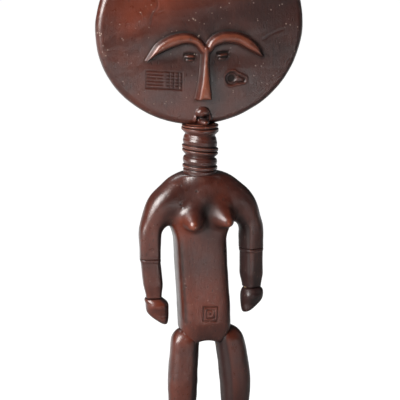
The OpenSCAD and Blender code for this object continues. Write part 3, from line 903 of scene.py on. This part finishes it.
class Nodes:
    """Short way to add nodes to a tree and wire them."""

    def __init__(self, tree):
        self.tree = tree

    def add(self, kind, inputs=None, **settings):
        node = self.tree.nodes.new(kind)
        for key, value in settings.items():
            setattr(node, key, value)
        for key, value in (inputs or {}).items():
            if isinstance(value, bpy.types.NodeSocket):
                self.tree.links.new(value, node.inputs[key])
            else:
                node.inputs[key].default_value = value
        return node

    def noise(self, place, size, detail=3.0, rough=0.55):
        """Noise whose features are about size millimetres across."""
        inputs = {"Vector": place, "Scale": 1000.0 / size, "Detail": detail, "Roughness": rough}
        return self.add("ShaderNodeTexNoise", inputs).outputs["Fac"]

    def stretched(self, place, scale, rotation=(0.0, 0.0, 0.0)):
        """Place with its axes turned and scaled, for grain that runs one way."""
        inputs = {"Vector": place, "Scale": scale, "Rotation": rotation}
        return self.add("ShaderNodeMapping", inputs).outputs[0]

    def span(self, value, low_end, high_end, to_low=0.0, to_high=1.0):
        """Smooth step of a value from one range into another."""
        node = self.add("ShaderNodeMapRange", interpolation_type="SMOOTHSTEP")
        ends = {"From Min": low_end, "From Max": high_end, "To Min": to_low, "To Max": to_high}
        for key, number in ends.items():
            node.inputs[key].default_value = number
        self.tree.links.new(value, node.inputs["Value"])
        return node.outputs["Result"]

    def math(self, operation, a, b=0.0, clamp=False):
        node = self.add("ShaderNodeMath", {0: a, 1: b}, operation=operation, use_clamp=clamp)
        return node.outputs[0]

    def blend(self, share, a, b, kind="MIX"):
        """Colour a with colour b laid over it by share."""
        node = self.add("ShaderNodeMix", data_type="RGBA", blend_type=kind)
        for key, value in ((0, share), (6, a), (7, b)):
            if isinstance(value, bpy.types.NodeSocket):
                self.tree.links.new(value, node.inputs[key])
            else:
                node.inputs[key].default_value = value
        return node.outputs[2]


def rgb(r, g, b):
    return (r, g, b, 1.0)


# What a surface can give the Principled shader: the kind of socket and the shader's input
SURFACE = {
    "Color": ("NodeSocketColor", "Base Color"),
    "Roughness": ("NodeSocketFloat", "Roughness"),
    "Coat": ("NodeSocketFloat", "Coat Weight"),
    "Normal": ("NodeSocketVector", "Normal"),
}


def give(tree, values):
    """Ends a surface group with one output for each value that varies."""
    for title in values:
        tree.interface.new_socket(title, in_out="OUTPUT", socket_type=SURFACE[title][0])
    end = tree.nodes.new("NodeGroupOutput")
    for title, value in values.items():
        tree.links.new(value, end.inputs[title])
    return tree


def stain_group(stain, deep, thin_and_lit_colour, worn_colour, bare_colour):
    """Old red-brown stain under lacquer.

    Long noise makes the grain and wide noise the patches where the stain took more or less. Lighter,
    redder patches are partly where the stain took less and partly painted light, and painted shade
    darkens the sides and some patches. The hollow mask goes near black: grime in the carved hollows
    and cuts, and painted shade round the brows, in the eye creases, between the breasts and in the
    armpits. The proud edges are rubbed through to copper and then to bare wood, and on the brows the
    copper is partly a painted highlight. Small pale flecks, partly nicks and partly painted glints,
    and dark pores are scattered over it, and fine scratches run across."""
    n = Nodes(bpy.data.node_groups.new("Stained wood surface", "ShaderNodeTree"))
    place = n.add("ShaderNodeTexCoord").outputs["Object"]
    wear, hollow, warm_and_lit, painted_shade = (
        n.add("ShaderNodeAttribute", attribute_name=name).outputs["Fac"]
        for name in ("wear", "hollow", "warm_and_lit", "painted_shade")
    )
    along = n.stretched(place, (1.0, 1.0, 0.09))
    grain = n.noise(along, 1.0, 4.0, 0.6)
    bands = n.noise(along, 5.0, 3.0, 0.5)
    patches = n.noise(place, 24.0, 4.0, 0.55)
    mottle = n.noise(place, 4.0, 4.0, 0.6)
    fine = n.noise(place, 0.9, 2.0, 0.5)

    colour = n.blend(n.span(patches, 0.36, 0.66), stain, deep)
    colour = n.blend(n.span(bands, 0.46, 0.74, 0.0, 0.3), colour, rgb(0.045, 0.012, 0.009))
    colour = n.blend(n.span(grain, 0.48, 0.7, 0.0, 0.28), colour, rgb(0.15, 0.042, 0.023))
    colour = n.blend(n.span(mottle, 0.55, 0.75, 0.0, 0.35), colour, rgb(0.17, 0.075, 0.052))

    # Lighter, redder colour: partly where the stain took less, partly painted light
    thin_and_lit = n.math("MULTIPLY", warm_and_lit, n.span(mottle, 0.25, 0.65, 0.7, 1.1), clamp=True)
    colour = n.blend(n.math("MULTIPLY", thin_and_lit, 0.85), colour, thin_and_lit_colour)
    # Painted shade: the sides, the back and set patches go near black
    painted_shade_share = n.math("MULTIPLY", painted_shade, n.span(patches, 0.3, 0.6, 0.95, 0.75), clamp=True)
    colour = n.blend(painted_shade_share, colour, rgb(0.02, 0.009, 0.009))

    rubbed = n.math("MULTIPLY", wear, n.span(mottle, 0.25, 0.6, 0.72, 1.2), clamp=True)
    rubbed = n.math("ADD", rubbed, n.span(patches, 0.62, 0.78, 0.0, 0.12), clamp=True)
    colour = n.blend(n.span(rubbed, 0.15, 0.75), colour, worn_colour)
    bare = n.math("MULTIPLY", n.span(rubbed, 0.75, 1.0), n.span(mottle, 0.5, 0.66), clamp=True)
    colour = n.blend(n.math("MULTIPLY", bare, 0.75), colour, bare_colour)

    # Near black: grime in the carved hollows, and painted shade where the hollow mask holds it
    dirt_and_shade = n.math("MULTIPLY", hollow, n.span(mottle, 0.2, 0.7, 1.25, 0.8), clamp=True)
    colour = n.blend(n.math("MULTIPLY", dirt_and_shade, 0.93), colour, rgb(0.011, 0.006, 0.005))

    # Pale flecks, partly nicks and partly painted glints, are few low down and many on the head
    cells = n.add("ShaderNodeTexVoronoi", {"Vector": place, "Scale": 360.0, "Randomness": 1.0})
    height = n.add("ShaderNodeSeparateXYZ", {0: place}).outputs[2]
    some = n.math("MULTIPLY", n.span(n.noise(place, 7.0, 2.0), 0.5, 0.6), n.span(height, 0.2, 0.3, 0.3, 1.2))
    near = n.span(cells.outputs["Distance"], 0.10, 0.2, 1.0, 0.0)
    nick_and_glint = n.math("MULTIPLY", near, some, clamp=True)
    colour = n.blend(n.math("MULTIPLY", nick_and_glint, 0.75), colour, rgb(0.42, 0.3, 0.24))
    cells = n.add("ShaderNodeTexVoronoi", {"Vector": n.stretched(place, (1, 1, 0.3)), "Scale": 620.0})
    near = n.span(cells.outputs["Distance"], 0.1, 0.26, 1.0, 0.0)
    pore = n.math("MULTIPLY", near, n.span(n.noise(place, 5.0, 2.0), 0.46, 0.62), clamp=True)
    colour = n.blend(n.math("MULTIPLY", pore, 0.8), colour, rgb(0.014, 0.007, 0.006))
    slant = n.stretched(place, (1.0, 1.0, 0.06), (0.2, 0.75, 0.3))
    lines = n.span(n.noise(slant, 0.5, 2.0, 0.5), 0.68, 0.8)

    rough = n.span(mottle, 0.3, 0.75, 0.26, 0.42)
    for part, share in ((dirt_and_shade, 0.3), (painted_shade, 0.2), (nick_and_glint, 0.2)):
        rough = n.math("ADD", rough, n.math("MULTIPLY", part, share), clamp=True)
    dull = n.math("ADD", n.math("MULTIPLY", dirt_and_shade, 0.85), n.math("MULTIPLY", painted_shade, 0.6))
    coat = n.math("SUBTRACT", n.span(patches, 0.25, 0.6, 0.75, 1.0), dull, clamp=True)
    level = n.math("MULTIPLY", grain, 0.09)
    for part, share in ((mottle, 0.13), (fine, 0.1), (pore, -0.13), (lines, -0.04), (nick_and_glint, -0.1)):
        level = n.math("ADD", level, n.math("MULTIPLY", part, share))
    normal = n.add("ShaderNodeBump", {"Strength": 1.0, "Distance": 0.0009, "Height": level}).outputs[0]
    return give(n.tree, {"Color": colour, "Roughness": rough, "Coat": coat, "Normal": normal})


def dowel_group():
    """Raw pale hardwood dowel: long fine grain, darker growth bands and a dry, even surface."""
    n = Nodes(bpy.data.node_groups.new("Dowel wood surface", "ShaderNodeTree"))
    along = n.stretched(n.add("ShaderNodeTexCoord").outputs["Object"], (1.0, 1.0, 0.1))
    grain = n.noise(along, 0.6, 4.0)
    bands = n.noise(along, 2.4, 2.0)
    colour = n.blend(n.span(grain, 0.35, 0.7), rgb(0.56, 0.38, 0.22), rgb(0.42, 0.26, 0.13))
    colour = n.blend(n.span(bands, 0.5, 0.72, 0.0, 0.5), colour, rgb(0.33, 0.19, 0.09))
    rough = n.span(grain, 0.3, 0.7, 0.6, 0.74)
    normal = n.add("ShaderNodeBump", {"Strength": 0.4, "Distance": 0.0002, "Height": grain}).outputs[0]
    return give(n.tree, {"Color": colour, "Roughness": rough, "Normal": normal})


def surface_material(name, tree):
    """Principled material fed by a surface group."""
    material = bpy.data.materials.new(name)
    material.use_nodes = True
    shader = material.node_tree.nodes["Principled BSDF"]
    source = material.node_tree.nodes.new("ShaderNodeGroup")
    source.node_tree = tree
    for output in source.outputs:
        material.node_tree.links.new(output, shader.inputs[SURFACE[output.name][1]])
    for key, value in (("IOR", 1.5), ("Coat Roughness", 0.3), ("Coat IOR", 1.6)):
        shader.inputs[key].default_value = value
    return material


def wood():
    """The stained wood, made once from the panel's colours."""
    found = bpy.data.materials.get("Stained wood")
    if found:
        return found
    s = bpy.context.scene.doll_finish
    tree = stain_group(rgb(*s.stain), rgb(*s.deep), rgb(*s.thin_and_lit), rgb(*s.worn), rgb(*s.bare))
    return surface_material("Stained wood", tree)


# Lighter, redder patches, partly where the stain took less and partly painted light where the light falls,
# then patches of painted shade: x, z, reach, strength
WARM_AND_LIT = [(-30, 306, 16, 0.9), (-8, 320, 18, 1.0), (-44, 290, 9, 0.6), (22, 314, 12, 0.5), (-10, 240, 12, 0.2),
        (4, 186, 10, 0.5), (-28, 174, 9, 0.4), (-9, 168, 7, 0.9), (14, 170, 7, 0.7), (-31, 158, 9, 0.4),
        (2, 120, 17, 0.8), (-28, 117, 8, 0.6), (-12, 96, 8, 0.3), (-12, 70, 14, 0.3), (20, 62, 12, 0.3)]
# Patches of painted shade, where the light falls less
PAINTED_SHADE_SPOTS = [(0, 290, 9, 0.6), (14, 291, 9, 0.5), (-14, 291, 8, 0.4), (50, 302, 26, 0.7), (40, 262, 24, 0.5),
         (-8, 262, 22, 0.25), (-8, 343, 26, 0.5), (1, 178, 9, 0.9), (24, 184, 10, 0.6), (9, 213, 7, 0.5),
         (31, 116, 11, 1.2), (33, 128, 6, 0.5), (22, 50, 12, 0.6), (8, 160, 10, 0.3), (3, 97, 7, 0.5)]


def spots(points, places):
    """Sum of bells at the places, as they lie in front view."""
    total = np.zeros(len(points))
    for x, z, reach, strength in places:
        total += strength * bell(np.hypot(points[:, 0] - x, points[:, 2] - z), reach)
    return total


def painted_side_shade(points, normals):
    """Painted shade on the sides and the back, less on sides that face the doll's right, towards the softbox,
    and on inner sides.

    The head has it only at its rim. The inner sides are those of the forearms, hands and legs."""
    x, z = points[:, 0], points[:, 2]
    right = ease((-normals[:, 0] - 0.2) / 0.5)
    off = np.hypot(x / HEAD_W, (z - HEAD_MID[2]) / HEAD_H) * 2.0
    rim = np.where(off < 1.1, ease((off - 0.88) / 0.06), 1.0)
    aside = (0.8 - 0.7 * right) * ease((0.8 + normals[:, 1]) / 0.6) * rim
    on_limb = ((np.abs(x) > ARM_FROM - 1.0) | (z < HIP_Z)) & (z < PIT_Z + 8.0)
    return aside + 1.1 * ease((-normals[:, 0] * np.sign(x) - 0.15) / 0.3) * on_limb


def tint(piece):
    """Lighter, redder patches, partly stain and partly painted light, and patches of painted shade, on what
    faces forwards, and painted shade on the sides.
    """
    points, normals = surface_of(piece)
    forwards = ease((-normals[:, 1] - 0.1) / 0.4)
    set_mask(piece, "warm_and_lit", forwards * spots(points, WARM_AND_LIT))
    set_mask(piece, "painted_shade", forwards * spots(points, PAINTED_SHADE_SPOTS) + painted_side_shade(points, normals))


def settle(piece, node):
    """Gives a carved piece its stain and its place on the body, and hides the CAD node that it stands for."""
    tint(piece)
    piece.data.materials.append(wood())
    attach(piece, BODY)
    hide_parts(node)


# ------------------------------------------------------------------ settings


class DollFinish(bpy.types.PropertyGroup):
    """Colours of the stain, the rubbed edges and the bare wood."""

    stain: FloatVectorProperty(
        name="Stain", description="Colour of the stained wood",
        subtype="COLOR", size=3, min=0, max=1, default=(0.1, 0.0215, 0.0115),
    )
    deep: FloatVectorProperty(
        name="Deep stain", description="Colour where the stain took most",
        subtype="COLOR", size=3, min=0, max=1, default=(0.044, 0.013, 0.010),
    )
    # Colour of the lighter patches: partly where the stain took less, partly painted light
    thin_and_lit: FloatVectorProperty(
        name="Thin stain and painted light", description="Colour where the stain took least",
        subtype="COLOR", size=3, min=0, max=1, default=(0.21, 0.036, 0.013),
    )
    worn: FloatVectorProperty(
        name="Rubbed", description="Colour where handling has thinned the stain",
        subtype="COLOR", size=3, min=0, max=1, default=(0.235, 0.060, 0.028),
    )
    bare: FloatVectorProperty(
        name="Bare", description="Colour where the stain is rubbed away",
        subtype="COLOR", size=3, min=0, max=1, default=(0.38, 0.19, 0.12),
    )


class DollStage(bpy.types.PropertyGroup):
    """Camera and lights."""

    azimuth: FloatProperty(
        name="Azimuth", description="Camera's turn from straight in front",
        subtype="ANGLE", default=math.radians(-14.0),
    )
    elevation: FloatProperty(
        name="Elevation", description="Camera's tilt from level",
        subtype="ANGLE", default=math.radians(12.5),
    )
    distance: FloatProperty(
        name="Distance", description="From the camera to the doll's axis",
        unit="LENGTH", default=1.2, min=0.5,
    )
    aim: FloatProperty(
        name="Aim height", description="Height that the camera looks at",
        unit="LENGTH", default=0.1813, min=0,
    )
    width: FloatProperty(
        name="View width", description="Width of the view at the doll's axis",
        unit="LENGTH", default=0.24, min=0.05,
    )
    softbox: FloatProperty(
        name="Softbox", description="Brightness of the softbox; the floor light and the fill follow it",
        default=11.0, min=0,
    )


# ------------------------------------------------------------------ operators


class DOLL_OT_head(bpy.types.Operator):
    """Carve the disc head with its face"""

    bl_idname = "doll.head"
    bl_label = "Head"

    def execute(self, context):
        settle(carve_head("carved_head"), "head")
        return {"FINISHED"}


class DOLL_OT_neck(bpy.types.Operator):
    """Turn the ringed neck"""

    bl_idname = "doll.neck"
    bl_label = "Neck"

    def execute(self, context):
        piece = carve_neck("carved_neck")
        crest = crests(piece, 30)
        set_mask(piece, "wear", 0.7 * ease((crest - 0.06) / 0.25))
        set_mask(piece, "hollow", 0.9 * ease((-crest - 0.03) / 0.22))
        settle(piece, "neck")
        return {"FINISHED"}


class DOLL_OT_torso(bpy.types.Operator):
    """Carve the trunk, shoulders, upper arms and breasts in one piece"""

    bl_idname = "doll.torso"
    bl_label = "Torso"

    def execute(self, context):
        settle(carve_torso("carved_torso"), "torso")
        return {"FINISHED"}


class DOLL_OT_arms(bpy.types.Operator):
    """Carve the two forearms and hands"""

    bl_idname = "doll.arms"
    bl_label = "Arms"

    def execute(self, context):
        for side in SIDES:
            settle(carve_forearm("carved_" + side + "_forearm", side), side + "_forearm")
            settle(carve_hand("carved_" + side + "_hand", side), side + "_hand")
        return {"FINISHED"}


class DOLL_OT_legs(bpy.types.Operator):
    """Carve the two thighs, calves and feet"""

    bl_idname = "doll.legs"
    bl_label = "Legs"

    def execute(self, context):
        for side in SIDES:
            settle(carve_thigh("carved_" + side + "_thigh", side), side + "_thigh")
            settle(carve_calf("carved_" + side + "_calf", side), side + "_calf")
            settle(carve_foot("carved_" + side + "_foot", side), side + "_foot")
        return {"FINISHED"}


class DOLL_OT_dowels(bpy.types.Operator):
    """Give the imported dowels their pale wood"""

    bl_idname = "doll.dowels"
    bl_label = "Dowels"

    def execute(self, context):
        pale = surface_material("Dowel wood", dowel_group())
        for name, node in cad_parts.items():
            if name.endswith("dowel"):
                for k in range(len(node.material_slots)):
                    node.material_slots[k].material = pale
        return {"FINISHED"}


def area_light(name, place, aim, size, power, colour=(1.0, 1.0, 1.0)):
    """Rectangular light turned to face a point, whose power grows with its area."""
    data = bpy.data.lights.new(name, "AREA")
    data.shape = "RECTANGLE"
    data.size, data.size_y = size
    data.energy = power * size[0] * size[1] * math.pi
    data.color = colour
    lamp = bpy.data.objects.new(name, data)
    lamp.location = place
    lamp.rotation_euler = (Vector(place) - Vector(aim)).to_track_quat("Z", "Y").to_euler()
    bpy.context.scene.collection.objects.link(lamp)
    return lamp


def put_floor():
    """Pale floor that is bright to the camera. Farther back it also shines a little in mirrored light."""
    corners = np.array([(-3, -1.1, 0), (3, -1.1, 0), (3, 7, 0), (-3, 7, 0)], float) / MM
    floor = put_mesh("floor", corners, np.array([[0, 1, 2, 3]]), NO_TRIANGLES)
    paper = bpy.data.materials.new("Pale floor")
    paper.use_nodes = True
    n = Nodes(paper.node_tree)
    shader = n.tree.nodes["Principled BSDF"]
    shader.inputs["Base Color"].default_value = rgb(0.3, 0.3, 0.3)
    shader.inputs["Roughness"].default_value = 0.9
    shader.inputs["Specular IOR Level"].default_value = 0.1
    shader.inputs["Emission Color"].default_value = rgb(0.96, 0.96, 0.96)
    ray = n.add("ShaderNodeLightPath").outputs
    back = n.add("ShaderNodeSeparateXYZ", {0: n.add("ShaderNodeTexCoord").outputs["Object"]}).outputs[1]
    mirrored = n.math("MULTIPLY", ray["Is Glossy Ray"], n.span(back, 0.0, 0.5, 0.0, 0.7))
    glow = n.math("ADD", ray["Is Camera Ray"], mirrored)
    n.tree.links.new(glow, shader.inputs["Emission Strength"])
    floor.data.materials.append(paper)


def put_lights(power, aim):
    """Softbox on the left, a light on the floor in front, a weak fill, and a weak sun high behind."""
    area_light("softbox_left", (-0.9, -0.55, 0.7), aim, (0.7, 0.95), power, (1.0, 0.97, 0.95))
    lamp = area_light("floor_light", (0.3, -0.85, 0.62), (0.3, -0.85, 0.0), (0.8, 0.4), power * 0.78)
    lamp.data.spread = math.radians(80.0)
    area_light("fill_right", (1.1, -0.25, 0.5), aim, (0.3, 0.8), power * 0.04)
    sun = bpy.data.lights.new("back_light", "SUN")
    sun.energy = 0.45
    sun.angle = math.radians(12)
    lamp = bpy.data.objects.new("back_light", sun)
    lamp.rotation_euler = Vector((-0.25, 1.0, 1.5)).to_track_quat("Z", "Y").to_euler()
    bpy.context.scene.collection.objects.link(lamp)


def put_world():
    """Dark room, a little less dark behind the doll."""
    world = bpy.data.worlds.new("Studio")
    world.use_nodes = True
    n = Nodes(world.node_tree)
    way = n.add("ShaderNodeTexCoord").outputs["Generated"]
    back = n.add("ShaderNodeSeparateXYZ", {0: way}).outputs[1]
    light = n.blend(n.span(back, 0.2, 0.8, 0.015, 0.06), rgb(0, 0, 0), rgb(1, 1, 1))
    n.tree.links.new(light, n.tree.nodes["Background"].inputs["Color"])
    bpy.context.scene.world = world


def put_camera(settings, aim):
    """Camera that looks at the aim from the settings' angles and distance."""
    data = bpy.data.cameras.new("camera")
    data.sensor_width = 36.0
    data.lens = data.sensor_width * settings.distance / settings.width
    data.clip_start, data.clip_end = 0.05, 50.0
    camera = bpy.data.objects.new("camera", data)
    turn, tilt = settings.azimuth, settings.elevation
    level = math.cos(tilt)
    back = Vector((math.sin(turn) * level, -math.cos(turn) * level, math.sin(tilt)))
    camera.location = aim + back * settings.distance
    camera.rotation_euler = back.to_track_quat("Z", "Y").to_euler()
    bpy.context.scene.collection.objects.link(camera)
    bpy.context.scene.camera = camera


class DOLL_OT_stage(bpy.types.Operator):
    """Set up the pale floor, the studio light and the camera"""

    bl_idname = "doll.stage"
    bl_label = "Stage"

    def execute(self, context):
        settings = context.scene.doll_stage
        aim = Vector((0.0, AXIS_Y * MM, settings.aim))
        put_floor()
        put_lights(settings.softbox, aim)
        put_world()
        put_camera(settings, aim)
        context.scene.view_settings.view_transform = "Standard"
        return {"FINISHED"}


PIECES = (DOLL_OT_head, DOLL_OT_neck, DOLL_OT_torso, DOLL_OT_arms, DOLL_OT_legs, DOLL_OT_dowels, DOLL_OT_stage)


class DOLL_PT_panel(bpy.types.Panel):
    """The doll's settings and the buttons that make it"""

    bl_idname = "DOLL_PT_panel"
    bl_label = "Carved Fertility Doll"
    bl_space_type = "VIEW_3D"
    bl_region_type = "UI"
    bl_category = "Doll"

    def draw(self, context):
        for settings in (context.scene.doll_finish, context.scene.doll_stage):
            box = self.layout.box()
            for key in settings.__annotations__:
                box.prop(settings, key)
        for piece in PIECES:
            self.layout.operator(piece.bl_idname)


CLASSES = (DollFinish, DollStage) + PIECES + (DOLL_PT_panel,)


def register():
    for one in CLASSES:
        bpy.utils.register_class(one)
    bpy.types.Scene.doll_finish = PointerProperty(type=DollFinish)
    bpy.types.Scene.doll_stage = PointerProperty(type=DollStage)


def unregister():
    del bpy.types.Scene.doll_stage
    del bpy.types.Scene.doll_finish
    for one in reversed(CLASSES):
        bpy.utils.unregister_class(one)


def main():
    register()
    bpy.ops.doll.head()
    bpy.ops.doll.neck()
    bpy.ops.doll.torso()
    bpy.ops.doll.arms()
    bpy.ops.doll.legs()
    bpy.ops.doll.dowels()
    bpy.ops.doll.stage()


if __name__ == "__main__":
    main()
